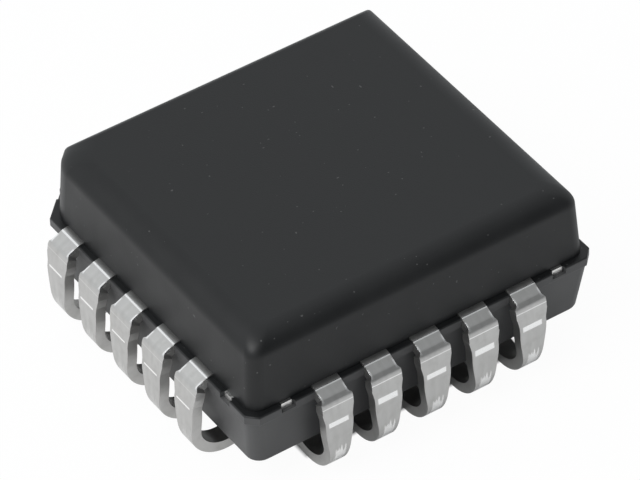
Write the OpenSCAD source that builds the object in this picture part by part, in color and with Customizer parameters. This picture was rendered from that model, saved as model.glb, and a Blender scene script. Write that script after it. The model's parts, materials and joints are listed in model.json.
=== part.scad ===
// Leaded chip carrier with twenty J-shaped leads, five on each side.
// A moulded body holds a stamped lead frame, a die on its paddle and the bond wires.
// The seating plane under the leads is z = 0 and pin 1 is in the middle of the +Y side.

/* [Body] */
// Side of the square flange at the parting line, the body's widest outline
body_size = 9.04; // [8.90:0.01:9.20]
// Height of the top face above the seating plane
top_height = 4.19; // [4.15:0.01:4.57]
// Height of the underside above the seating plane
standoff = 0.82; // [0.76:0.01:0.95]
// Step from the flange's edge in to the upper walls
upper_ledge = 0.15; // [0.10:0.01:0.20]
// Step from the flange's edge in to the lower walls
lower_ledge = 0.05; // [0.03:0.01:0.10]
// Lean of the upper walls, degrees
upper_draft = 4; // [2:0.5:6]
// Lean of the lower walls, degrees
lower_draft = 7; // [4:0.5:9]
// Radius along the top edges
top_round = 0.33; // [0.20:0.01:0.36]
// Radius along the bottom edges
bottom_round = 0.11; // [0.08:0.01:0.20]
// Radius of the upright corners at the parting line
corner_round = 0.50; // [0.50:0.01:0.70]
// Corner cut of the flange beside pin 1
index_chamfer = 1.14; // [1.07:0.01:1.22]
// Bevel along the top edge on the side of pin 1, measured in from the flange's edge
index_bevel = 1.14; // [1.00:0.01:1.25]
// Corner cuts of the flange at the other three corners
flange_chamfer = 0.24; // [0.15:0.01:0.40]

/* [Leads] */
// Distance between neighbouring leads
pitch = 1.27; // [1.24:0.01:1.30]
// Height of the lead frame's top face above the seating plane
frame_top = 2.42; // [2.38:0.01:2.50]
// Thickness of the lead frame, and of the flange around it
frame_t = 0.254; // [0.22:0.002:0.27]
// Overall width across the legs of opposite leads
lead_span = 9.89; // [9.85:0.01:10.03]
// Width of a lead where it leaves the body
head_w = 0.66; // [0.60:0.01:0.72]
// Width across the cut stubs of the dam bar
stub_w = 0.80; // [0.76:0.01:0.88]
// Width of the leg
leg_w = 0.70; // [0.66:0.01:0.74]
// Width of the curled foot
foot_w = 0.46; // [0.40:0.01:0.56]
// Outward run of the sloping shoulder
shoulder_run = 0.34; // [0.30:0.01:0.38]
// Fall of the sloping shoulder
shoulder_drop = 0.14; // [0.10:0.01:0.20]
// Fall from the frame's top to the leg's outermost line
leg_drop = 0.83; // [0.75:0.01:0.95]
// Outside radius of the curled foot
curl_radius = 0.92; // [0.86:0.01:0.96]
// Angle that the foot curls through, degrees
curl_angle = 150; // [120:1:155]

/* [Inside] */
// Side of the square paddle under the die
paddle_size = 3.50; // [3.20:0.05:3.80]
// Width of the paddle's support bars
bar_w = 0.26; // [0.20:0.01:0.30]
// Distance of the cut bar ends from the flange's edge on the neighbouring side
bar_inset = 0.98; // [0.92:0.01:1.05]
// Height of the notch over a cut bar end, down from the frame's top
notch_depth = 0.16; // [0.12:0.01:0.20]
// Room around a cut bar end in its notch
notch_gap = 0.05; // [0.03:0.01:0.08]
// Side of the square die
die_size = 2.60; // [2.20:0.05:2.80]
// Thickness of the die
die_t = 0.36; // [0.25:0.01:0.45]
// Thickness of the die attach film
attach_t = 0.03; // [0.02:0.01:0.06]
// Distance of the finger tips from the middle
tip_reach = 2.15; // [2.05:0.05:2.30]
// Distance between neighbouring finger tips
tip_pitch = 0.60; // [0.55:0.01:0.65]
// Width of a finger tip
tip_w = 0.32; // [0.26:0.01:0.36]
// Thickness of a bond wire
wire_t = 0.033; // [0.025:0.001:0.050]
// Height of a wire's loop over the die
wire_loop = 0.20; // [0.15:0.01:0.30]
// Distance between neighbouring bond pads
pad_pitch = 0.42; // [0.36:0.01:0.46]

/* [Hidden] */
$fn = 64;
per_side = 5;
pins = 4 * per_side;

// A node's name with its pin number in two digits.
function pin_name(base, k) = str(base, k < 10 ? "_0" : "_", k);

flange_half = body_size / 2;
upper_half = flange_half - upper_ledge;
lower_half = flange_half - lower_ledge;
frame_bottom = frame_top - frame_t;
upper_h = top_height - frame_top;
lower_h = frame_bottom - standoff;
lead_reach = lead_span / 2;

// The corner cut's distance from the middle, along the diagonal.
chamfer_reach = (body_size - index_chamfer) * sqrt(2) / 2;
// Cut bar ends stand a little out of the upper walls, on the flange.
bar_stub = 0.06;
bar_end = upper_half + bar_stub;
bar_place = flange_half - bar_inset;
chamfer_bar_end = chamfer_reach - upper_ledge + bar_stub;
notch_rise = 0.05;

// The head runs this far into the body before the finger narrows.
head_hold = 0.55;
finger_knee = flange_half - head_hold;
// The dam bar's stubs begin just over the shoulder's outer bend and fade into the leg.
stub_lead = 0.03;
stub_slant = 0.06;
stub_h = 0.25;
stub_fade = 0.25;
stub_top = frame_top - shoulder_drop + stub_lead;
stub_wide = stub_top - stub_slant;
stub_bottom = stub_wide - stub_h;
leg_line = frame_top - leg_drop;
// The leg narrows to the foot from under its outermost line to halfway down the curl.
taper_gap = 0.15;
taper_top = leg_line - taper_gap;
taper_bottom = curl_radius / 2;

die_bottom = frame_top + attach_t;
die_top = die_bottom + die_t;
attach_margin = 0.05;
// Bond pads lie in from the die's edge, and the wires' flat ends out from the finger tips.
pad_inset = 0.12;
pad_reach = die_size / 2 - pad_inset;
bond_land = 0.16;
bond_reach = tip_reach + bond_land;
// Half the length of a wire's flat end, and the foot of its ball.
bond_flat = 0.09;
ball_half = 0.04;
ball_t = 0.03;
// Shares of the loop: a wire's straight rise, and its turn to level. Share of the span: its level crest.
wire_rise = 0.6;
wire_turn = 0.4;
wire_crest = 0.35;

cut_size = 4 * body_size;

// Place of pin k, counted from the -Y side's first lead, anticlockwise from above.
function pin_order(k) = (k - 1 + 2 * per_side + (per_side - 1) / 2) % pins;
function pin_side(k) = floor(pin_order(k) / per_side);
function pin_slot(k) = pin_order(k) % per_side - (per_side - 1) / 2;

function heading(a, b) = (b - a) / norm(b - a);
function left_of(v) = [-v[1], v[0]];
// Offset direction at point i of a path, scaled so that parallel sides stay parallel.
function mitre(p, i) =
    i == 0 ? left_of(heading(p[0], p[1])) :
    i == len(p) - 1 ? left_of(heading(p[i - 1], p[i])) :
    let (
        a = left_of(heading(p[i - 1], p[i])),
        b = left_of(heading(p[i], p[i + 1]))
    ) (a + b) / (1 + a * b);
// Outline of a strip along a path, from one offset to another.
function strip(p, from, to) = concat(
    [for (i = [0:len(p) - 1]) p[i] + to * mitre(p, i)],
    [for (i = [len(p) - 1:-1:0]) p[i] + from * mitre(p, i)]
);

// Turns a shape made for the -Y side to the side of pin k.
module at_pin_side(k) {
    rotate([0, 0, 90 * pin_side(k)])
        children();
}

// The part of a disc that rounds an edge between a leaning wall and a level face.
module edge_sector(edge_r, draft) {
    wedge = 2 * edge_r;
    intersection() {
        circle(r = edge_r);
        polygon([[0, 0], wedge * [cos(draft), sin(draft)], [wedge, wedge], [0, wedge]]);
    }
}

// Section of a leaning wall with a rounded upper edge, as deep as the upright corners are round.
module wall_section(depth, draft, edge_r) {
    arc_y = depth - edge_r;
    arc_x = corner_round - (edge_r + arc_y * sin(draft)) / cos(draft);
    wall_x = arc_x + edge_r * cos(draft);
    wall_y = arc_y + edge_r * sin(draft);
    polygon([
        [0, 0], [corner_round, 0], [wall_x, wall_y],
        [arc_x, arc_y], [arc_x, depth], [0, depth]
    ]);
    translate([arc_x, arc_y])
        edge_sector(edge_r, draft);
}

// Square block with leaning walls, round upright corners and rounded upper edges.
module drafted_block(half, depth, draft, edge_r) {
    straight = half - corner_round;
    translate([-straight, -straight, 0])
        cube([2 * straight, 2 * straight, depth]);
    for (turn = [0:3])
        rotate([0, 0, 90 * turn])
            translate([straight, straight, 0]) {
                rotate_extrude(angle = 90)
                    wall_section(depth, draft, edge_r);
                rotate([90, 0, 0])
                    linear_extrude(2 * straight)
                        wall_section(depth, draft, edge_r);
            }
}

// All that lies beyond the leaning face of the corner cut beside pin 1.
module beyond_chamfer(reach, draft) {
    rotate([0, 0, 135])
        translate([reach, 0, 0])
            rotate([0, -draft, 0])
                translate([0, -cut_size / 2, -cut_size / 2])
                    cube(cut_size);
}

// All that lies over the bevel along the top edge of pin 1's side.
module over_bevel() {
    translate([0, flange_half - index_bevel, top_height])
        rotate([-45, 0, 0])
            translate([-cut_size / 2, -cut_size / 2, 0])
                cube(cut_size);
}

module upper_mould() {
    translate([0, 0, frame_top])
        difference() {
            drafted_block(upper_half, upper_h, upper_draft, top_round);
            beyond_chamfer(chamfer_reach - upper_ledge, upper_draft);
        }
}

// Made upright and turned over about the diagonal that the corner cut lies across.
module lower_mould() {
    translate([0, 0, frame_bottom])
        rotate(a = 180, v = [-1, 1, 0])
            difference() {
                drafted_block(lower_half, lower_h, lower_draft, bottom_round);
                beyond_chamfer(chamfer_reach - lower_ledge, lower_draft);
            }
}

module flange_outline() {
    t = flange_half;
    c = flange_chamfer;
    polygon([
        [-t, -t + c], [-t + c, -t], [t - c, -t], [t, -t + c],
        [t, t - c], [t - c, t], [-t + index_chamfer, t], [-t, t - index_chamfer]
    ]);
}

module flange() {
    translate([0, 0, frame_bottom])
        linear_extrude(frame_t)
            flange_outline();
}

// Cuts the flange open in front of a bar end that lies at distance reach along +Y.
module bar_notch(reach) {
    notch_w = bar_w + 2 * notch_gap;
    translate([-notch_w / 2, reach, frame_top - notch_depth])
        cube([notch_w, flange_half, notch_depth + notch_rise]);
}

module bar_notches() {
    for (corner = [0, 2, 3])
        rotate([0, 0, 90 * corner]) {
            translate([bar_place, 0, 0])
                bar_notch(bar_end);
            rotate([0, 0, -90])
                translate([-bar_place, 0, 0])
                    bar_notch(bar_end);
        }
    rotate([0, 0, 45])
        bar_notch(chamfer_bar_end);
}

module body() {
    color("#3b3d42")
        difference() {
            union() {
                upper_mould();
                flange();
                lower_mould();
            }
            over_bevel();
            bar_notches();
            for (k = [1:pins]) {
                lead_shape(k);
                bond_wire_shape(k);
            }
            paddle_shape();
            attach_shape();
            die_shape();
        }
}

// Side view of a lead outside the body: across is the distance from the middle, up is height.
module lead_side_view() {
    leg_x = lead_reach;
    path = [
        [finger_knee, frame_top],
        [flange_half, frame_top],
        [flange_half + shoulder_run, frame_top - shoulder_drop],
        [leg_x, leg_line],
        [leg_x, curl_radius]
    ];
    polygon(strip(path, -frame_t, 0));
    translate([leg_x - curl_radius, curl_radius])
        intersection() {
            difference() {
                circle(r = curl_radius);
                circle(r = curl_radius - frame_t);
            }
            curl_sector();
        }
}

// The part of the foot's ring that the lead curls through, down from the leg.
module curl_sector() {
    far = 2 * curl_radius;
    polygon([
        [0, 0], [far, 0], [far, -far], [-far, -far],
        [-far, -far * tan(180 - curl_angle)]
    ]);
}

// Front view of a lead: across is along the row, up is height.
module lead_front_view() {
    half = [
        [head_w / 2, frame_top],
        [head_w / 2, stub_top],
        [stub_w / 2, stub_wide],
        [stub_w / 2, stub_bottom],
        [leg_w / 2, stub_bottom - stub_fade],
        [leg_w / 2, taper_top],
        [foot_w / 2, taper_bottom],
        [foot_w / 2, 0]
    ];
    last = len(half) - 1;
    polygon(concat(half, [for (i = [last:-1:0]) [-half[i][0], half[i][1]]]));
}

// Plan of the finger that runs from the head to its tip beside the paddle.
module finger_plan(slot) {
    head_x = slot * pitch;
    tip_x = slot * tip_pitch;
    polygon([
        [head_x - head_w / 2, -flange_half], [head_x + head_w / 2, -flange_half],
        [head_x + head_w / 2, -finger_knee], [tip_x + tip_w / 2, -tip_reach],
        [tip_x - tip_w / 2, -tip_reach], [head_x - head_w / 2, -finger_knee]
    ]);
}

module lead_shape(k) {
    slot = pin_slot(k);
    at_pin_side(k) {
        translate([0, 0, frame_bottom])
            linear_extrude(frame_t)
                finger_plan(slot);
        translate([slot * pitch, 0, 0])
            intersection() {
                rotate([90, 0, -90])
                    linear_extrude(stub_w, center = true)
                        lead_side_view();
                rotate([90, 0, 0])
                    linear_extrude(lead_span)
                        lead_front_view();
            }
    }
}

module lead(k) {
    color("#c8c5bd")
        lead_shape(k);
}

// Plan of the paddle with a forked bar to each plain corner and a single bar to the cut corner.
module paddle_plan() {
    arm = bar_end - bar_place + bar_w / 2;
    square(paddle_size, center = true);
    for (corner = [0, 2, 3])
        rotate(90 * corner) {
            rotate(45)
                translate([0, -bar_w / 2])
                    square([bar_place * sqrt(2), bar_w]);
            translate([bar_place - bar_w / 2, bar_place - bar_w / 2]) {
                square([arm, bar_w]);
                square([bar_w, arm]);
            }
        }
    rotate(135)
        translate([0, -bar_w / 2])
            square([chamfer_bar_end, bar_w]);
}

module paddle_shape() {
    translate([0, 0, frame_bottom])
        linear_extrude(frame_t)
            paddle_plan();
}

module die_paddle() {
    color("#c8c5bd")
        paddle_shape();
}

module attach_shape() {
    translate([0, 0, frame_top])
        linear_extrude(attach_t)
            square(die_size + 2 * attach_margin, center = true);
}

module die_attach() {
    color("#9a9aa0")
        attach_shape();
}

module die_shape() {
    translate([0, 0, die_bottom])
        linear_extrude(die_t)
            square(die_size, center = true);
}

module die() {
    color("#596072")
        die_shape();
}

// Side view of a bond wire: across is the distance from its pad, up is height.
module wire_side_view(span) {
    ball_top = die_top + ball_t;
    path = [
        [0, ball_top],
        [0, die_top + wire_rise * wire_loop],
        [wire_turn * wire_loop, die_top + wire_loop],
        [wire_crest * span, die_top + wire_loop],
        [span - bond_flat, frame_top + wire_t / 2],
        [span + bond_flat, frame_top + wire_t / 2]
    ];
    polygon(concat(
        [[-ball_half, die_top], [-ball_half, ball_top]],
        strip(path, -wire_t / 2, wire_t / 2),
        [[ball_half, ball_top], [ball_half, die_top]]
    ));
}

module bond_wire_shape(k) {
    slot = pin_slot(k);
    // The finger's middle line, where the wire's flat end lies on it.
    along = (bond_reach - tip_reach) / (finger_knee - tip_reach);
    pad = [slot * pad_pitch, -pad_reach];
    bond = [slot * (tip_pitch + along * (pitch - tip_pitch)), -bond_reach];
    run = bond - pad;
    at_pin_side(k)
        translate([pad[0], pad[1], 0])
            rotate([90, 0, atan2(run[1], run[0])])
                linear_extrude(wire_t, center = true)
                    wire_side_view(norm(run));
}

module bond_wire(k) {
    color("#d9b347")
        bond_wire_shape(k);
}

body();
die_paddle();
die_attach();
die();
for (k = [1:pins]) {
    lead(k);
    bond_wire(k);
}
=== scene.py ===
# %% [markdown]
# # A leaded chip carrier in Blender
# The object is a small black chip: a moulded block with five J-shaped leads on each of its four sides. The packed
# construction model is loaded first. It fixes every size and place, and nothing in it is moved here. What shows is
# then modelled again with softer edges and finer bends, and everything gets a finish of its own.

# %% Load the frame
import json
import math
import random

import bmesh
import bpy
from mathutils import Matrix, Vector

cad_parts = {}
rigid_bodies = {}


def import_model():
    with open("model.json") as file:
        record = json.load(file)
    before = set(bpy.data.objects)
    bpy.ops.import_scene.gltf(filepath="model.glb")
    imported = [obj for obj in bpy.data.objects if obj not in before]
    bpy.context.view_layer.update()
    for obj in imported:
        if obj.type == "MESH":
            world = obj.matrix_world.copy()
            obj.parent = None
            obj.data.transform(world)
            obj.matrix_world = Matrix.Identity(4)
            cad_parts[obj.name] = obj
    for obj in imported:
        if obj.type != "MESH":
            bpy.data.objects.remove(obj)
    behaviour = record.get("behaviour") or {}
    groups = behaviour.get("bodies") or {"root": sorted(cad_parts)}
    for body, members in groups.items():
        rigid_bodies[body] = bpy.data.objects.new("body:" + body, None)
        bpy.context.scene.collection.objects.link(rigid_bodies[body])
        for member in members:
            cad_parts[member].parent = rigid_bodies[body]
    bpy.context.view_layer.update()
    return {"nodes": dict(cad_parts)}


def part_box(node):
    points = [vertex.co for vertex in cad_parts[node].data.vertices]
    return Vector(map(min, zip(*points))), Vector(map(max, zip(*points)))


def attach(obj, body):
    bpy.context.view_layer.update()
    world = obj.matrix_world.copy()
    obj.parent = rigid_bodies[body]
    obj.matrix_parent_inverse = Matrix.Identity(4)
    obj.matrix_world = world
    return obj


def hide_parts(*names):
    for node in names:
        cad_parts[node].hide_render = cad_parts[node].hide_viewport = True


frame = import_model()

# %% [markdown]
# ## Sizes
# Blender counts in metres, and this chip is under a hundredth of one. Several of Blender's tools treat lengths of a
# hundredth of a millimetre as nothing, so each piece is modelled with one unit to the millimetre and is made a
# thousand times smaller when it is finished. The main sizes of the body are read from its box in the construction
# model. The others repeat the values of that model, or are chosen here where it has sharp edges and plain bends.

# %% Sizes in millimetres
METRES = 0.001
body_low, body_high = (1000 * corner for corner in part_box("body"))
FLANGE = body_high.x
TOP, UNDERSIDE = body_high.z, body_low.z
FRAME_TOP, FRAME_T = 2.42, 0.254
FRAME_BOTTOM = FRAME_TOP - FRAME_T
UPPER_LEDGE, LOWER_LEDGE = 0.15, 0.05
UPPER, LOWER = FLANGE - UPPER_LEDGE, FLANGE - LOWER_LEDGE
UPPER_LEAN, LOWER_LEAN = math.radians(4), math.radians(7)
PITCH, PER_SIDE, PINS = 1.27, 5, 20
print("flange", round(2 * FLANGE, 3), "mm square, body from", round(UNDERSIDE, 3), "to", round(TOP, 3), "mm")

# %% [markdown]
# ## Tools used for every piece
# In edit mode an operator acts on what is selected. By hand one clicks on the faces or edges. Here a small test picks
# them by where they are, which gives the same result each time the lesson is run.

# %% Selecting and shaping helpers
MERGED, SLACK, ALIGNED = 1e-5, 1e-4, 0.9


def start_alone():
    if bpy.context.object and bpy.context.object.mode != "OBJECT":
        bpy.ops.object.mode_set(mode="OBJECT")
    bpy.ops.object.select_all(action="DESELECT")


def make_active(piece):
    start_alone()
    piece.select_set(True)
    bpy.context.view_layer.objects.active = piece


def pick(piece, kind, test):
    """Selects the points, edges or faces of a piece in edit mode for which the test holds, and counts them."""
    bpy.ops.mesh.select_mode(type=kind)
    bpy.ops.mesh.select_all(action="DESELECT")
    mesh = bmesh.from_edit_mesh(piece.data)
    items = {"VERT": mesh.verts, "EDGE": mesh.edges, "FACE": mesh.faces}[kind]
    chosen = [item for item in items if test(item)]
    for item in chosen:
        item.select_set(True)
    mesh.select_flush_mode()
    bmesh.update_edit_mesh(piece.data)
    return len(chosen)


def along(edge):
    return (edge.verts[1].co - edge.verts[0].co).normalized()


def upright(edge):
    return abs(along(edge).z) > ALIGNED


def level(edge):
    return abs(along(edge).z) < 1 - ALIGNED


def round_off(piece, test, radius, segments):
    """Rounds the edges that the test picks."""
    pick(piece, "EDGE", test)
    bpy.ops.mesh.bevel(offset=radius, offset_type="OFFSET", segments=segments, affect="EDGES", clamp_overlap=True)


def slice_off(piece, point, outward):
    """Cuts away what lies beyond a plane, and closes the cut."""
    bpy.ops.mesh.select_all(action="SELECT")
    bpy.ops.mesh.bisect(plane_co=point, plane_no=outward, use_fill=True, clear_outer=True, threshold=MERGED)


def on_plane(point, outward):
    """A test for the edges that lie in a plane."""
    normal = Vector(outward).normalized()
    return lambda edge: all(abs((v.co - Vector(point)).dot(normal)) < SLACK for v in edge.verts)


def apply_modifier(piece, kind, **settings):
    make_active(piece)
    bpy.ops.object.modifier_add(type=kind)
    modifier = piece.modifiers[-1]
    for name, value in settings.items():
        setattr(modifier, name, value)
    bpy.ops.object.modifier_apply(modifier=modifier.name)


def add_box(name, low, high):
    """A box between two corners, left in edit mode with all of it selected."""
    start_alone()
    low, high = Vector(low), Vector(high)
    bpy.ops.mesh.primitive_cube_add(size=1, location=(low + high) / 2, scale=high - low)
    piece = bpy.context.object
    piece.name = name
    bpy.ops.object.transform_apply(location=True, rotation=True, scale=True)
    bpy.ops.object.mode_set(mode="EDIT")
    return piece


print("helpers ready")

# %% [markdown]
# ## The body: two moulded blocks
# The black body is epoxy resin, pressed into a two-part mould around the lead frame. Each mould half leaves a block
# whose walls lean a few degrees, so that it can be pushed out. A box whose end face is scaled gives the lean in one
# step. The corner beside pin 1 is cut off with a plane, so that the chip fits its socket in one way only, and a bevel
# rounds the upright edges. The end is rounded wider than those edges are, which a bevel can't do, so the end face is
# extruded in small steps and scaled along a quarter of an ellipse.

# %% Block with leaning walls
ROOTED, INDEX_CUT, CORNER_STEPS = 0.1, 1.14, 10
cut_reach = (2 * FLANGE - INDEX_CUT) * math.sqrt(0.5)
diagonal = Vector((-1, 1, 0)).normalized()


def leaning_block(name, half, lean, z_root, z_end, corner_round, edge_in, edge_rise, steps):
    """A block with a cut corner that is rooted in the flange, leans in towards z_end and is rounded there."""
    way = 1 if z_end > z_root else -1
    root, wall_end = z_root - way * ROOTED, z_end - way * edge_rise
    wide = half + ROOTED * math.tan(lean)
    reach = half - abs(wall_end - z_root) * math.tan(lean)
    block = add_box(name, (-wide, -wide, min(root, wall_end)), (wide, wide, max(root, wall_end)))

    def at_end(face):
        return face.normal.z * way > ALIGNED

    pick(block, "FACE", at_end)
    bpy.ops.transform.resize(value=(reach / wide, reach / wide, 1), center_override=(0, 0, wall_end))
    slice_off(block, diagonal * (cut_reach - FLANGE + half) + Vector((0, 0, z_root)),
              diagonal * math.cos(lean) + Vector((0, 0, way * math.sin(lean))))
    round_off(block, upright, corner_round, CORNER_STEPS)
    pick(block, "FACE", at_end)
    risen, last = 0, reach
    for step in range(1, steps + 1):
        turn = math.pi / 2 * step / steps
        rise, here = edge_rise * math.sin(turn), reach - edge_in * (1 - math.cos(turn))
        bpy.ops.mesh.extrude_region_move(TRANSFORM_OT_translate={"value": (0, 0, way * (rise - risen))})
        bpy.ops.transform.resize(value=(here / last, here / last, 1), center_override=(0, 0, z_end))
        risen, last = rise, here
    return block


TOP_CORNER, TOP_IN, TOP_RISE, TOP_STEPS = 0.32, 0.60, 0.44, 12
upper = leaning_block("moulded_body", UPPER, UPPER_LEAN, FRAME_TOP, TOP,
                      TOP_CORNER, TOP_IN, TOP_RISE, TOP_STEPS)
print("upper block:", len(bmesh.from_edit_mesh(upper.data).faces), "faces")

# %% [markdown]
# The top edge on the side of pin 1 has a broad bevel. It is a plain cut with a plane, and its edges are softened a
# little. The lower block is made like the upper one, with its end down.

# %% Bevel and lower block
INDEX_BEVEL, SOFT_EDGE, EDGE_STEPS = 1.14, 0.07, 3
bevel_point, bevel_outward = (0, FLANGE - INDEX_BEVEL, TOP), (0, 1, 1)
slice_off(upper, bevel_point, bevel_outward)
round_off(upper, on_plane(bevel_point, bevel_outward), SOFT_EDGE, EDGE_STEPS)
start_alone()
LOW_CORNER, LOW_ROUND, LOW_STEPS = 0.32, 0.11, 6
lower = leaning_block("lower_block", LOWER, LOWER_LEAN, FRAME_BOTTOM, UNDERSIDE,
                      LOW_CORNER, LOW_ROUND, LOW_ROUND, LOW_STEPS)
start_alone()
print("upper", len(upper.data.polygons), "faces, lower", len(lower.data.polygons), "faces")

# %% [markdown]
# ## The flange
# Where the mould halves meet, resin fills the spaces between the leads out to the bar that held them together. It
# leaves a thin flange, as thick as the lead frame. Three of its corners are trimmed a little and one is cut wide. Its
# rim is rounded by a hair, because resin never fills a sharp edge.

# %% Flange
CORNER_TRIM, RIM_ROUND = 0.24, 0.035


def at_plain_corner(edge):
    """A test for the upright edges where two whole sides of the square meet."""
    place = edge.verts[0].co
    return upright(edge) and min(abs(place.x), abs(place.y)) > FLANGE - SLACK


flange = add_box("flange", (-FLANGE, -FLANGE, FRAME_BOTTOM), (FLANGE, FLANGE, FRAME_TOP))
slice_off(flange, diagonal * cut_reach, diagonal)
round_off(flange, at_plain_corner, CORNER_TRIM, 1)
round_off(flange, level, RIM_ROUND, EDGE_STEPS)
start_alone()
print("flange:", len(flange.data.polygons), "faces")

# %% [markdown]
# The leads and the bars that carried the die paddle lie in the flange. Boxes are repeated on the four sides and
# joined into one cutter, and a Boolean difference makes room. A bar was cut off after moulding, and left a notch in
# the flange in front of its bright end.

# %% Cutters for leads and bars
HEAD_W, GAP, BEYOND = 0.66, 0.004, 0.2
BAR_PLACE, BAR_W, BAR_PROUD, NOTCH_GAP, NOTCH_DEPTH = 3.54, 0.26, 0.06, 0.05, 0.16
BAR_END = UPPER + BAR_PROUD
slots = [slot - (PER_SIDE - 1) / 2 for slot in range(PER_SIDE)]
BARS_BY_SIDE = ((0, (-1, 1)), (1, (-1, 1)), (2, (-1,)), (3, (1,)))
INDEX_TURNS = 2.5


def quarter_turns(turns):
    """Turns what is selected anticlockwise from above. The operator itself turns the other way."""
    bpy.ops.transform.rotate(value=-math.pi / 2 * turns, orient_axis="Z", center_override=(0, 0, 0))


def side_cutter(x, half_w, y_in, y_out, z_low, z_high, turns):
    """A box made for the -Y side and turned to its own side."""
    box = add_box("cutter", (x - half_w, -y_out, z_low), (x + half_w, -y_in, z_high))
    quarter_turns(turns)
    start_alone()
    return box


def at_leads(y_in, z_low, z_high):
    return [side_cutter(s * PITCH, HEAD_W / 2 + GAP, y_in, FLANGE + BEYOND, z_low, z_high, turns)
            for turns in range(4) for s in slots]


def at_bars(half_w, y_in, y_out, z_low, z_high):
    made = [side_cutter(hand * BAR_PLACE, half_w, y_in, y_out, z_low, z_high, turns)
            for turns, hands in BARS_BY_SIDE for hand in hands]
    further = cut_reach - FLANGE
    return made + [side_cutter(0, half_w, y_in + further, y_out + further, z_low, z_high, INDEX_TURNS)]


def cut_out(block, cutters):
    start_alone()
    for box in cutters:
        box.select_set(True)
    bpy.context.view_layer.objects.active = cutters[0]
    bpy.ops.object.join()
    apply_modifier(block, "BOOLEAN", operation="DIFFERENCE", object=cutters[0], solver="EXACT")
    bpy.data.objects.remove(cutters[0])


def join_on(block, other):
    apply_modifier(block, "BOOLEAN", operation="UNION", object=other, solver="EXACT")
    bpy.data.objects.remove(other)


print("cutters ready for", PINS, "leads and", 1 + sum(len(hands) for _, hands in BARS_BY_SIDE), "bars")

# %% [markdown]
# Now the blocks become one closed skin. The pockets are cut while the upper block is still apart, so that its foot
# stays whole over the leads.

# %% One moulded body
HELD_IN = 0.12
HELD = UPPER - HELD_IN
join_on(flange, lower)
cut_out(flange, at_leads(HELD, FRAME_BOTTOM - GAP, FRAME_TOP + BEYOND))
cut_out(flange, at_bars(BAR_W / 2 + GAP, HELD, BAR_END + GAP, FRAME_BOTTOM - GAP, FRAME_TOP + BEYOND))
moulded_body = upper
join_on(moulded_body, flange)
cut_out(moulded_body, at_bars(BAR_W / 2 + NOTCH_GAP, BAR_END, FLANGE + BEYOND,
                              FRAME_TOP - NOTCH_DEPTH, FRAME_TOP + GAP))
print("moulded body:", len(moulded_body.data.polygons), "faces")

# %% [markdown]
# Rounded and flat faces share their corner points, and plain smooth shading would bend the light on the flat ones.
# The Weighted Normal modifier lets the large faces decide, so they stay flat and the small ones turn between them.

# %% Finish a piece
BODY_SMOOTH, LEAD_SMOOTH, LARGE_FACES = 35, 40, 60


def finish_piece(piece, smooth_degrees):
    """Smooth shading, true size in metres, and the piece's origin at the frame's origin."""
    make_active(piece)
    bpy.ops.object.mode_set(mode="EDIT")
    bpy.ops.mesh.select_all(action="SELECT")
    bpy.ops.mesh.remove_doubles(threshold=MERGED)
    bpy.ops.mesh.normals_make_consistent(inside=False)
    bpy.ops.object.mode_set(mode="OBJECT")
    bpy.ops.object.shade_smooth_by_angle(angle=math.radians(smooth_degrees))
    apply_modifier(piece, "WEIGHTED_NORMAL", keep_sharp=True, weight=LARGE_FACES)
    bpy.ops.transform.resize(value=(METRES,) * 3, center_override=(0, 0, 0))
    bpy.ops.object.transform_apply(location=True, rotation=True, scale=True)


finish_piece(moulded_body, BODY_SMOOTH)
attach(moulded_body, "root")
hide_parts("body")
print("moulded body finished, top at", round(1000 * max(v.co.z for v in moulded_body.data.vertices), 3), "mm")

# %% [markdown]
# ## The leads
# A lead is a strip of sheet metal, stamped flat with its neighbours, tinned, and bent after moulding: out of the
# body, over a sloping shoulder, down the leg and round under the body in a J. It is made here as the press makes it:
# a narrow plane is extruded along the outer line of the bends, and the foot is spun round its centre. The middle
# lead of the -Y side is the pattern for all twenty.

# %% Strip along the bends
TIP, KNEE_IN, LEAD_REACH = 2.15, 0.55, 4.945
KNEE = FLANGE - KNEE_IN
CREST_IN, CREST_RISE, LINE_RISE = 0.13, 0.055, 0.025
SHOULDER_RUN, SHOULDER_DROP, LEG_DROP = 0.34, 0.14, 0.83
CURL, CURL_ANGLE, CURL_STEPS = 0.92, math.radians(150), 25
BEND_ROUND, BEND_STEPS = 0.28, 6
PRESSED_OVER, PRESSED_LIFT = 0.15, 0.01
head_end = Vector((0, -FLANGE, FRAME_TOP + LINE_RISE))
crest = Vector((0, CREST_IN - FLANGE, FRAME_TOP + CREST_RISE))
shoulder_end = Vector((0, -FLANGE - SHOULDER_RUN, FRAME_TOP - SHOULDER_DROP))
leg_line = Vector((0, -LEAD_REACH, FRAME_TOP - LEG_DROP))
shoulder_way, upper_way = (shoulder_end - head_end).normalized(), (leg_line - shoulder_end).normalized()
bend = shoulder_way.angle(upper_way)
tangent = BEND_ROUND * math.tan(bend / 2)

start_alone()
bpy.ops.mesh.primitive_plane_add(size=1, location=(0, -(TIP + KNEE) / 2, FRAME_TOP))
pattern = bpy.context.object
pattern.name = "lead_pattern"
bpy.ops.object.transform_apply(location=True, rotation=True, scale=True)
bpy.ops.object.mode_set(mode="EDIT")
bpy.ops.transform.resize(value=(HEAD_W, KNEE - TIP, 1), center_override=(0, -(TIP + KNEE) / 2, FRAME_TOP))
pick(pattern, "EDGE", lambda edge: all(abs(v.co.y + KNEE) < SLACK for v in edge.verts))


def extrude_to(point):
    """Draws the free end of the strip out until its middle lies at a point."""
    mesh = bmesh.from_edit_mesh(pattern.data)
    ends = [v.co for v in mesh.verts if v.select]
    step = Vector(point) - (ends[0] + ends[1]) / 2
    bpy.ops.mesh.extrude_region_move(TRANSFORM_OT_translate={"value": step})


def spin_on(steps, angle, centre):
    """Bends the strip on, downwards and in. The operator needs the negative angle for that."""
    bpy.ops.mesh.spin(steps=steps, angle=-angle, center=centre, axis=(1, 0, 0))


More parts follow.
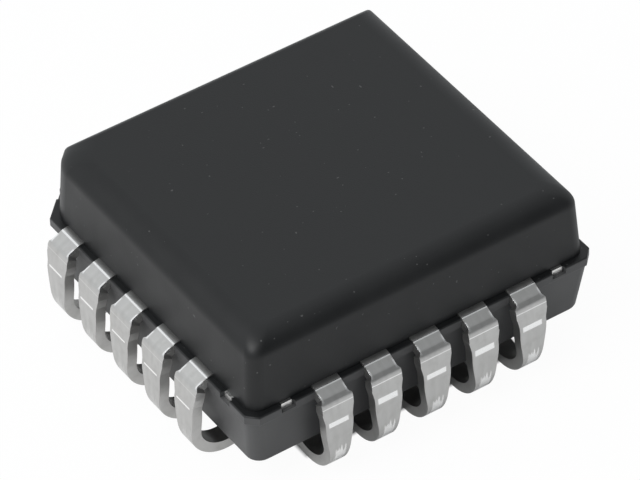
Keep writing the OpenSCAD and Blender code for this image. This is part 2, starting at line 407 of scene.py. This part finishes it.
extrude_to(crest)
extrude_to(head_end)
bend_start = shoulder_end - shoulder_way * tangent
extrude_to(bend_start)
inward = Vector((0, -shoulder_way.z, shoulder_way.y))
spin_on(BEND_STEPS, bend, bend_start + inward * BEND_ROUND)
extrude_to(leg_line - upper_way * PRESSED_OVER)
extrude_to(leg_line + Vector((0, 0, PRESSED_LIFT)))
extrude_to((0, -LEAD_REACH, CURL))
spin_on(CURL_STEPS, CURL_ANGLE, (0, CURL - LEAD_REACH, CURL))
start_alone()
strip_low = min(v.co.z for v in pattern.data.vertices)
print("strip:", len(pattern.data.vertices), "points, lowest at", round(strip_low, 4))

# %% [markdown]
# The strip changes its width on the way: narrow at the tip inside, wider where it leaves the body, widest at the two
# stubs that are left of the bar which joined the leads, and then ever narrower to the foot. Cuts with level planes
# give it points at those heights, and each cross line is then scaled to its width.

# %% Width along the strip
TIP_W, STUB_W, LEG_W, FOOT_W = 0.32, 0.80, 0.70, 0.46
STUB_LEAD, STUB_SLANT, STUB_H, STUB_FADE, LEG_CUTS = 0.04, 0.08, 0.24, 0.25, 5
stub_top = shoulder_end.z + STUB_LEAD
stub_wide = stub_top - STUB_SLANT
stub_low = stub_wide - STUB_H
stub_end = stub_low - STUB_FADE
taper_top, taper_end = leg_line.z, 0.40
cut_heights = [stub_top, stub_wide, stub_low, (stub_low + stub_end) / 2, stub_end]
cut_heights += [taper_top - (taper_top - CURL) * i / LEG_CUTS for i in range(1, LEG_CUTS)]


def eased(start, end, share):
    """Goes from start to end as the share goes from none to one, gently at both ends."""
    share = min(max(share, 0), 1)
    return start + (end - start) * share * share * (3 - 2 * share)


def width_at(y, z):
    """Width of the lead at a point of its outer line."""
    if -y <= KNEE + SLACK and z > CURL:
        return HEAD_W if -y > TIP + SLACK else TIP_W
    if z > stub_low:
        return eased(HEAD_W, STUB_W, (stub_top - z) / STUB_SLANT)
    if z > stub_end:
        return eased(STUB_W, LEG_W, (stub_low - z) / STUB_FADE)
    return eased(LEG_W, FOOT_W, (taper_top - z) / (taper_top - taper_end))


make_active(pattern)
bpy.ops.object.mode_set(mode="EDIT")
for height in cut_heights:
    bpy.ops.mesh.select_all(action="SELECT")
    bpy.ops.mesh.bisect(plane_co=(0, 0, height), plane_no=(0, 0, 1), threshold=MERGED)
places = {tuple(round(c, 4) for c in v.co.yz) for v in bmesh.from_edit_mesh(pattern.data).verts}
for y, z in sorted(places):
    pick(pattern, "VERT", lambda v: abs(v.co.y - y) < 2 * SLACK and abs(v.co.z - z) < 2 * SLACK)
    bpy.ops.transform.resize(value=(width_at(y, z) / HEAD_W, 1, 1), center_override=(0, y, z))
start_alone()
print("strip with", len(places), "cross lines")

# %% [markdown]
# Solidify gives the strip the thickness of the sheet, inwards from the outer line. The edges are rounded last: the
# press leaves broad soft edges down the leg and crisp ones at the shoulder, so each edge carries a weight for the
# Bevel modifier.

# %% Thickness and edges
LEG_EDGE, FINE_SHARE, BEND_SHARE, END_SHARE = 0.08, 0.4, 0.4, 0.4
OVER_STUB, SIDEWAYS, FACES_ASIDE, SHARP_TURN = 0.01, 0.8, 0.5, 1.2
outer_points = len(pattern.data.vertices)
make_active(pattern)
bpy.ops.object.mode_set(mode="EDIT")
bpy.ops.mesh.select_all(action="SELECT")
up_on_head = next(f for f in bmesh.from_edit_mesh(pattern.data).faces if f.calc_center_median().y > -KNEE)
if up_on_head.normal.z < 0:
    bpy.ops.mesh.flip_normals()
bpy.ops.object.mode_set(mode="OBJECT")
apply_modifier(pattern, "SOLIDIFY", thickness=FRAME_T, offset=-1, use_even_offset=True)
bpy.ops.object.mode_set(mode="EDIT")


def outer(edge):
    return all(v.index < outer_points for v in edge.verts)


def at_side(edge):
    return abs(along(edge).x) < SIDEWAYS and any(abs(f.normal.x) > FACES_ASIDE for f in edge.link_faces)


def down_the_leg(edge):
    return outer(edge) and max(v.co.z for v in edge.verts) < stub_wide + OVER_STUB


def at_foot_end(edge):
    across = abs(along(edge).x) > ALIGNED
    return across and edge.calc_face_angle(0) > SHARP_TURN and edge.verts[0].co.z < CURL


def weigh(test, share):
    """Gives the edges that the test picks a share of the full rounding."""
    count = pick(pattern, "EDGE", test)
    bpy.ops.transform.edge_bevelweight(value=share)
    return count


soft = weigh(lambda e: at_side(e) and down_the_leg(e), 1.0)
fine = weigh(lambda e: at_side(e) and not down_the_leg(e), FINE_SHARE)
first_bend = weigh(lambda e: outer(e) and all((v.co - head_end).yz.length < SLACK for v in e.verts), BEND_SHARE)
foot_end = weigh(at_foot_end, END_SHARE)
start_alone()
apply_modifier(pattern, "BEVEL", width=LEG_EDGE, segments=EDGE_STEPS, limit_method="WEIGHT", use_clamp_overlap=True)
print("edges weighted:", soft, "soft,", fine, "fine,", first_bend, "at the bend,", foot_end, "at the foot")

# %% [markdown]
# The finish of a lead will follow the strip: painted highlights along the bends and on the foot. So every point
# remembers its place on the pattern, in millimetres, and keeps it when the copies go to their places.

# %% Remember the place on the strip
places_on_strip = pattern.data.attributes.new("strip_place", "FLOAT_VECTOR", "POINT")
for vertex, place in zip(pattern.data.vertices, places_on_strip.data):
    place.vector = vertex.co
print("lead pattern:", len(pattern.data.polygons), "faces,", len(places_on_strip.data), "places")

# %% [markdown]
# ## Twenty leads
# Each lead is a copy of the pattern with its own mesh. Inside the body the fingers fan in towards the die, so a
# copy's tip is moved sideways before the copy goes to its place. The bar between the leads is never cut quite in the
# same place, so the stubs differ by a hundredth of a millimetre or so. Each lead also notes how strong its painted
# highlights are: strong on two opposite sides, weak on the other two, and a little different from lead to lead.

# %% Copies round the body
TIP_PITCH, TIP_NEAR, STUB_PLAY = 0.60, 0.05, 0.015
HIGHLIGHT_BY_SIDE, HIGHLIGHT_LEAST, HIGHLIGHT_MOST = (1.0, 0.3, 1.0, 0.3), 0.8, 1.1
STUB_UNDER, STUB_ASIDE, STUB_BEFORE = 0.03, 0.30, 0.1


def on_stub(hand):
    """A test for the points of the stub on one side of the strip."""
    return lambda v: (stub_low < v.co.z < stub_top - STUB_UNDER and v.co.x * hand > STUB_ASIDE
                      and v.co.y < -FLANGE - STUB_BEFORE)


random.seed(20)
leads, worst = [], 0
for pin in range(1, PINS + 1):
    order = (pin - 1 + 2 * PER_SIDE + (PER_SIDE - 1) // 2) % PINS
    side, slot = order // PER_SIDE, slots[order % PER_SIDE]
    make_active(pattern)
    bpy.ops.object.duplicate(linked=False)
    lead = bpy.context.object
    lead.name = f"j_lead_{pin:02d}"
    bpy.ops.object.mode_set(mode="EDIT")
    pick(lead, "VERT", lambda v: v.co.y > -TIP - TIP_NEAR)
    bpy.ops.transform.translate(value=(slot * (TIP_PITCH - PITCH), 0, 0))
    for hand in (-1, 1):
        nudge = random.uniform(-STUB_PLAY, STUB_PLAY)
        pick(lead, "VERT", on_stub(hand))
        bpy.ops.transform.translate(value=(hand * nudge, 0, 0))
    bpy.ops.mesh.select_all(action="SELECT")
    bpy.ops.transform.translate(value=(slot * PITCH, 0, 0))
    quarter_turns(side)
    start_alone()
    # Strength of this lead's painted highlights: full on the -Y and +Y sides, about a third on the other two.
    highlight_weight = lead.data.attributes.new("highlight_weight", "FLOAT", "POINT")
    lead_highlight = HIGHLIGHT_BY_SIDE[side] * random.uniform(HIGHLIGHT_LEAST, HIGHLIGHT_MOST)
    highlight_weight.data.foreach_set("value", [lead_highlight] * len(lead.data.vertices))
    finish_piece(lead, LEAD_SMOOTH)
    node = f"lead_{pin:02d}"
    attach(lead, "root")
    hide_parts(node)
    leads.append(lead)
    low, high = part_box(node)
    for axis in range(3):
        reach = [v.co[axis] for v in lead.data.vertices]
        worst = max(worst, abs(min(reach) - low[axis]), abs(max(reach) - high[axis]))
bpy.data.objects.remove(pattern)
print(len(leads), "leads of", len(leads[0].data.polygons), "faces; furthest from its place:",
      round(1000 * worst, 4), "mm")

# %% [markdown]
# ## Finishes
# Every finish is made of Blender's own textures on Object coordinates, so it needs no picture and stays put when the
# part is moved. A small helper keeps the node trees readable.

# %% Node helper
COLOUR_A, COLOUR_B, COLOUR_RESULT = 6, 7, 2


class Finish:
    """A material with one Principled shader, and short ways to add nodes to it."""

    def __init__(self, name):
        self.material = bpy.data.materials.new(name)
        self.material.use_nodes = True
        self.tree = self.material.node_tree
        self.shader = self.tree.nodes["Principled BSDF"]
        self.place = self.add("ShaderNodeTexCoord").outputs["Object"]

    def add(self, kind, links=(), **settings):
        node = self.tree.nodes.new(kind)
        for name, value in settings.items():
            if hasattr(node, name):
                setattr(node, name, value)
            else:
                node.inputs[name].default_value = value
        for socket, source in links:
            self.tree.links.new(source, node.inputs[socket])
        return node

    def noise(self, per_mm, detail, stretch=None, place=None, unit=METRES):
        """Noise with so many waves to the millimetre. The unit is one where the place counts in millimetres."""
        place = place or self.place
        if stretch:
            place = self.add("ShaderNodeMapping", [("Vector", place)], Scale=stretch).outputs[0]
        return self.add("ShaderNodeTexNoise", [("Vector", place)], Scale=per_mm / unit, Detail=detail).outputs["Fac"]

    def spread(self, source, low, high, start=0.3, end=0.7):
        """Goes from low to high while the source goes from start to end, which suit a noise if not given."""
        node = self.add("ShaderNodeMapRange", [("Value", source)])
        for socket, value in (("From Min", start), ("From Max", end), ("To Min", low), ("To Max", high)):
            node.inputs[socket].default_value = value
        return node.outputs["Result"]

    def tint(self, source, dark, light):
        """A mix of two colours, each given as numbers or as another tint."""
        node = self.add("ShaderNodeMix", [("Factor", source)], data_type="RGBA")
        for socket, colour in ((node.inputs[COLOUR_A], dark), (node.inputs[COLOUR_B], light)):
            if isinstance(colour, tuple):
                socket.default_value = (*colour, 1)
            else:
                self.tree.links.new(colour, socket)
        return node.outputs[COLOUR_RESULT]

    def sums(self, operation, first, second):
        node = self.add("ShaderNodeMath", operation=operation)
        for socket, value in zip(node.inputs, (first, second)):
            if isinstance(value, (int, float)):
                socket.default_value = value
            else:
                self.tree.links.new(value, socket)
        return node.outputs[0]

    def within(self, source, low, high, soft):
        """One between two limits and nothing outside them, with soft borders."""
        rises = self.spread(source, 0, 1, low - soft, low + soft)
        falls = self.spread(source, 1, 0, high - soft, high + soft)
        return self.sums("MULTIPLY", rises, falls)

    def all_of(self, first, *others):
        for other in others:
            first = self.sums("MULTIPLY", first, other)
        return first

    def any_of(self, first, *others):
        for other in others:
            first = self.sums("MAXIMUM", first, other)
        return first

    def bump(self, source, height_mm, strength):
        node = self.add("ShaderNodeBump", [("Height", source)], Distance=height_mm * METRES, Strength=strength)
        self.tree.links.new(node.outputs["Normal"], self.shader.inputs["Normal"])

    def drive(self, socket, source):
        self.tree.links.new(source, self.shader.inputs[socket])

    def set(self, **values):
        for socket, value in values.items():
            self.shader.inputs[socket.replace("_", " ")].default_value = value


def dress(piece, finish):
    piece.data.materials.clear()
    piece.data.materials.append(finish.material)


print("finish helper ready")

# %% [markdown]
# The body is resin full of fine glass grains and soot. Its mould was eaten by sparks, which leaves a satin surface of
# tiny craters. Fine noise gives the craters, coarse noise a cloudy change of gloss, and a few pale grains lie open.
# The lower half is painted a little greyer. This is painted light: it brightens the walls that lean down towards the
# pale floor.

# %% Mould compound
PAINTED_LIGHT_LOW, PAINTED_LIGHT_HIGH, GRAIN_LOW, GRAIN_HIGH = 2.37, 2.41, 0.845, 0.865
compound = Finish("mould_compound")
craters = compound.noise(26, 3)
clouds = compound.noise(0.9, 2)
grains = compound.spread(compound.noise(12, 0), 0, 1, GRAIN_LOW, GRAIN_HIGH)
height = compound.add("ShaderNodeSeparateXYZ", [("Vector", compound.place)]).outputs["Z"]
# Painted light: everything below the top of the flange is made lighter, standing in for the light of the floor below.
painted_floor_light = compound.spread(height, 1, 0, PAINTED_LIGHT_LOW * METRES, PAINTED_LIGHT_HIGH * METRES)
black = compound.tint(compound.spread(clouds, 0, 1), (0.0045, 0.005, 0.0055), (0.007, 0.0075, 0.008))
black = compound.tint(painted_floor_light, black, (0.062, 0.062, 0.063))
compound.drive("Base Color", compound.tint(grains, black, (0.06, 0.06, 0.06)))
compound.drive("Roughness", compound.spread(clouds, 0.40, 0.50))
compound.bump(craters, 0.004, 0.5)
compound.set(Specular_IOR_Level=0.38)
dress(moulded_body, compound)
print("mould compound on", moulded_body.name)

# %% [markdown]
# The leads are plated with matt tin. The plating has a fine grain, faint lines from the rolling of the sheet, and a
# slightly warm grey. Highlights are painted onto it as bright, smoother metal: along the first bend, in a thin line
# across the stubs, in a flat band over the leg, on the burred edges of the shoulder and in a spot on each foot. The
# marks are drawn with the places that the points remember: across the strip, outwards and up. Outwards is -Y there,
# so the numbers of that axis are negative.

# %% Places of the painted highlights on a lead, in millimetres
BEND_HALF, BEND_SOFT, BEND_FROM, BEND_FULL = 0.022, 0.004, 2.30, 2.34
LINE_LOW, LINE_HIGH, LINE_SOFT, LINE_SHARE = 2.115, 2.140, 0.006, 0.7
BAND_HALF, BAND_SHIFT, BAND_TALL, BAND_SOFT = 0.25, -0.02, 0.074, 0.012
OUTER_FULL, OUTER_FROM = -4.80, -4.76
BURR_OUT, BURR_IN, BURR_TOP, BURR_UNDER = -4.84, -4.62, 2.40, 0.04
BURR_FROM, BURR_FULL, BURR_SOFT = 0.285, 0.305, 0.02
SPOT_LOW, SPOT_HIGH, SPOT_SOFT, SPOT_FINGERS = 0.2, 0.86, 0.05, 0.18
SPOT_LEFT, SPOT_RIGHT, SPOT_EDGE = -0.12, 0.15, 0.02
SPOT_FULL, SPOT_FROM = -4.75, -4.7
band_height = leg_line.z + (PRESSED_OVER + PRESSED_LIFT) / 2
print("band at", round(band_height, 3), "mm, foot spot from", SPOT_LOW, "to", SPOT_HIGH, "mm")

# %% Tin
tin = Finish("satin_tin")
on_strip = tin.add("ShaderNodeAttribute", attribute_name="strip_place").outputs["Vector"]
strip_axes = tin.add("ShaderNodeSeparateXYZ", [("Vector", on_strip)]).outputs
across, outward, up = strip_axes["X"], strip_axes["Y"], strip_axes["Z"]
row_highlight = tin.add("ShaderNodeAttribute", attribute_name="highlight_weight").outputs["Fac"]
grain = tin.noise(30, 2)
rolled = tin.noise(9, 3, stretch=(1, 0.15, 0.15), place=on_strip, unit=1)
blotches = tin.noise(4.5, 3)
streaks = tin.noise(13, 1, stretch=(1, 0.12, 0.12), place=on_strip, unit=1)
fingers = tin.spread(streaks, -SPOT_FINGERS, SPOT_FINGERS)
outer_side = tin.spread(outward, 1, 0, OUTER_FULL, OUTER_FROM)
bend_highlight = tin.all_of(tin.within(outward, -FLANGE - BEND_HALF, -FLANGE + BEND_HALF, BEND_SOFT),
                       tin.spread(up, 0, 1, BEND_FROM, BEND_FULL))
second_highlight = tin.all_of(tin.within(up, LINE_LOW, LINE_HIGH, LINE_SOFT), outer_side,
                         tin.sums("MULTIPLY", row_highlight, LINE_SHARE))
from_band = tin.sums("ABSOLUTE", tin.sums("SUBTRACT", up, band_height), 0)
off_band = tin.sums("DIVIDE", from_band, row_highlight)
band_highlight = tin.all_of(tin.spread(off_band, 1, 0, BAND_TALL - BAND_SOFT, BAND_TALL + BAND_SOFT), outer_side,
                  tin.within(across, BAND_SHIFT - BAND_HALF, BAND_SHIFT + BAND_HALF, BAND_SOFT))
burr_highlights = tin.all_of(tin.within(up, stub_top - BURR_UNDER, BURR_TOP, BURR_SOFT),
                   tin.within(outward, BURR_OUT, BURR_IN, BURR_SOFT),
                   tin.spread(tin.sums("ABSOLUTE", across, 0), 0, 1, BURR_FROM, BURR_FULL))
foot_highlight = tin.all_of(tin.within(tin.sums("ADD", up, fingers), SPOT_LOW, SPOT_HIGH, SPOT_SOFT),
                       tin.within(across, SPOT_LEFT, SPOT_RIGHT, SPOT_EDGE),
                       tin.spread(outward, 1, 0, SPOT_FULL, SPOT_FROM),
                       tin.spread(row_highlight, 0.15, 0.9, 0.3, 0.8))
# Painted highlights: the first bend, the line across the stubs, the leg band, the shoulder edges and the foot are
# coloured as bright, smoother metal.
painted_highlights = tin.any_of(bend_highlight, second_highlight, band_highlight, burr_highlights, foot_highlight)
grey = tin.tint(tin.spread(rolled, 0, 1), (0.50, 0.495, 0.485), (0.54, 0.535, 0.525))
grey = tin.tint(tin.spread(blotches, 0, 0.35, 0.5, 0.75), grey, (0.40, 0.395, 0.38))
tin.drive("Base Color", tin.tint(painted_highlights, grey, (0.95, 0.945, 0.935)))
smoother = tin.sums("MULTIPLY", painted_highlights, 0.18)
tin.drive("Roughness", tin.sums("SUBTRACT", tin.spread(blotches, 0.34, 0.42), smoother))
tin.bump(grain, 0.002, 0.25)
tin.set(Metallic=1.0)
for lead in leads:
    dress(lead, tin)
print("tin on", len(leads), "leads")

# %% [markdown]
# ## Inside
# The paddle, the die, the film under it and the bond wires stay as the construction model has them, because only the
# cut ends of the paddle's bars show. They still get finishes of their own.

# %% Finishes of the inner parts
def grained(name, per_mm, detail, dark, light, roughness, metallic, stretch=None):
    """A finish whose colour and gloss follow the same noise."""
    finish = Finish(name)
    grain = finish.noise(per_mm, detail, stretch)
    finish.drive("Base Color", finish.tint(finish.spread(grain, 0, 1), dark, light))
    finish.drive("Roughness", finish.spread(grain, *roughness))
    finish.set(Metallic=metallic)
    return finish


alloy = grained("bare_frame_alloy", 8, 2, (0.80, 0.79, 0.77), (0.92, 0.91, 0.89), (0.25, 0.4), 1.0, (0.3, 3, 3))
glue = grained("silver_filled_epoxy", 40, 2, (0.30, 0.30, 0.31), (0.55, 0.55, 0.56), (0.4, 0.6), 0.6)
silicon = grained("polished_silicon", 1.2, 1, (0.10, 0.11, 0.14), (0.16, 0.16, 0.20), (0.12, 0.2), 0.8)
gold = grained("gold_wire", 20, 2, (0.72, 0.50, 0.18), (0.86, 0.63, 0.26), (0.18, 0.3), 1.0)
for name, finish in (("die_paddle", alloy), ("die_attach", glue), ("die", silicon)):
    dress(frame["nodes"][name], finish)
for pin in range(1, PINS + 1):
    dress(frame["nodes"][f"bond_wire_{pin:02d}"], gold)
print("inner finishes:", alloy.material.name, glue.material.name, silicon.material.name, gold.material.name)

# %% [markdown]
# ## Floor, light and camera
# The chip stands on a pale floor. The Light Path node lets the camera see it white, apart from the shaded part under
# the chip, and lets the metal mirror a floor that is bright on the left only. A large soft lamp on the left gives the
# walls their difference in tone, and the surroundings are bright behind and to the left and darker at the front
# right, as beside a window.

# %% Floor
FLOOR_SIZE, FLOOR_SEEN = 2, 0.96
MIRRORED_LEFT, MIRRORED_RIGHT, FADE_LEFT, FADE_RIGHT = 0.55, 0.08, -6, -2
SHADE_X, SHADE_Y, SHADE_SOFT = (-2.8, 2.95), (-4.02, 3.4), 0.05
start_alone()
bpy.ops.mesh.primitive_plane_add(size=FLOOR_SIZE, location=(0, 0, 0))
floor = bpy.context.object
floor.name = "floor"
paper = Finish("white_paper")
paper.set(Base_Color=(0.9, 0.9, 0.9, 1), Roughness=0.9, Specular_IOR_Level=0.1)
rays = paper.add("ShaderNodeLightPath").outputs
mirrored = paper.sums("MAXIMUM", rays["Is Glossy Ray"], rays["Is Transmission Ray"])
floor_axes = paper.add("ShaderNodeSeparateXYZ", [("Vector", paper.place)]).outputs
lit = paper.spread(floor_axes["X"], MIRRORED_LEFT, MIRRORED_RIGHT, FADE_LEFT * METRES, FADE_RIGHT * METRES)
by_camera = paper.sums("MULTIPLY", rays["Is Camera Ray"], FLOOR_SEEN)
seen = paper.any_of(by_camera, paper.sums("MULTIPLY", mirrored, lit))
shade = [paper.within(floor_axes[axis], low * METRES, high * METRES, SHADE_SOFT * METRES)
         for axis, (low, high) in (("X", SHADE_X), ("Y", SHADE_Y))]
open_floor = paper.sums("SUBTRACT", 1, paper.all_of(*shade))
white = paper.add("ShaderNodeEmission", Strength=1.0)
mixed = paper.add("ShaderNodeMixShader", [(0, paper.all_of(seen, open_floor)), (1, paper.shader.outputs[0]),
                                          (2, white.outputs[0])])
paper.tree.links.new(mixed.outputs[0], paper.tree.nodes["Material Output"].inputs["Surface"])
dress(floor, paper)
print("floor ready")

# %% Surroundings
DARK_WAY, DARK_FROM, DARK_FULL, BRIGHT, DIM = (0.40, -0.74, 0.54), 0.45, 0.98, 0.87, 0.25
world = bpy.data.worlds.new("studio")
bpy.context.scene.world = world
world.use_nodes = True
sky = world.node_tree
way = sky.nodes.new("ShaderNodeTexCoord")
facing = sky.nodes.new("ShaderNodeVectorMath")
facing.operation = "DOT_PRODUCT"
facing.inputs[1].default_value = Vector(DARK_WAY).normalized()
fade = sky.nodes.new("ShaderNodeMapRange")
fade.interpolation_type = "SMOOTHSTEP"
for socket, value in (("From Min", DARK_FROM), ("From Max", DARK_FULL), ("To Min", BRIGHT), ("To Max", DIM)):
    fade.inputs[socket].default_value = value
sky.links.new(way.outputs["Generated"], facing.inputs[0])
sky.links.new(facing.outputs["Value"], fade.inputs["Value"])
sky.links.new(fade.outputs["Result"], sky.nodes["Background"].inputs["Strength"])
sky.nodes["Background"].inputs["Color"].default_value = (0.95, 0.98, 1, 1)
print("surroundings ready")

# %% Lamp
LAMP_PLACE, LAMP_AIM, LAMP_SIZE, LAMP_WATTS = Vector((-60, -6, 86)), Vector((0, 0, 2)), 60, 0.05
lamp = bpy.data.lights.new("window", "AREA")
lamp.size, lamp.energy = LAMP_SIZE * METRES, LAMP_WATTS
holder = bpy.data.objects.new("window", lamp)
holder.location = LAMP_PLACE * METRES
holder.rotation_euler = (LAMP_AIM - LAMP_PLACE).to_track_quat("-Z", "Y").to_euler()
bpy.context.scene.collection.objects.link(holder)
print("lamp", holder.name, "of", LAMP_SIZE, "mm")

# %% [markdown]
# The camera stands where the photograph's stood. Its place was found by fitting the two rows of leads, which are
# 1.27 mm apart: far away with a long lens, 42 degrees up, and tilted by a degree and a half.

# %% Camera
AZIMUTH, ELEVATION, ROLL = (math.radians(a) for a in (-33.395, 42.479, -1.544))
DISTANCE, FOCAL_PIXELS, PICTURE_W, SENSOR_W = 115.30, 5247.5, 640, 36
CLIP_NEAR, CLIP_FAR = 0.002, 10
aim = Vector((0.2516, -0.1293, 1.82))
right = Vector((math.cos(AZIMUTH), math.sin(AZIMUTH), 0))
level_ahead = Vector((-math.sin(AZIMUTH), math.cos(AZIMUTH), 0))
ahead = level_ahead * math.cos(ELEVATION) - Vector((0, 0, math.sin(ELEVATION)))
upward = right.cross(ahead)
right_tilted = right * math.cos(ROLL) + upward * math.sin(ROLL)
upward_tilted = upward * math.cos(ROLL) - right * math.sin(ROLL)
camera_data = bpy.data.cameras.new("camera")
camera_data.sensor_width = SENSOR_W
camera_data.lens = FOCAL_PIXELS * SENSOR_W / PICTURE_W
camera_data.clip_start, camera_data.clip_end = CLIP_NEAR, CLIP_FAR
camera = bpy.data.objects.new("camera", camera_data)
turn = Matrix((right_tilted, upward_tilted, -ahead)).transposed().to_4x4()
camera.matrix_world = Matrix.Translation((aim - ahead * DISTANCE) * METRES) @ turn
bpy.context.scene.collection.objects.link(camera)
bpy.context.scene.camera = camera
bpy.context.scene.view_settings.view_transform = "Standard"
print("camera lens", round(camera_data.lens, 1), "mm")

# %% [markdown]
# ## Last step

# %% Leave object mode with nothing selected
start_alone()
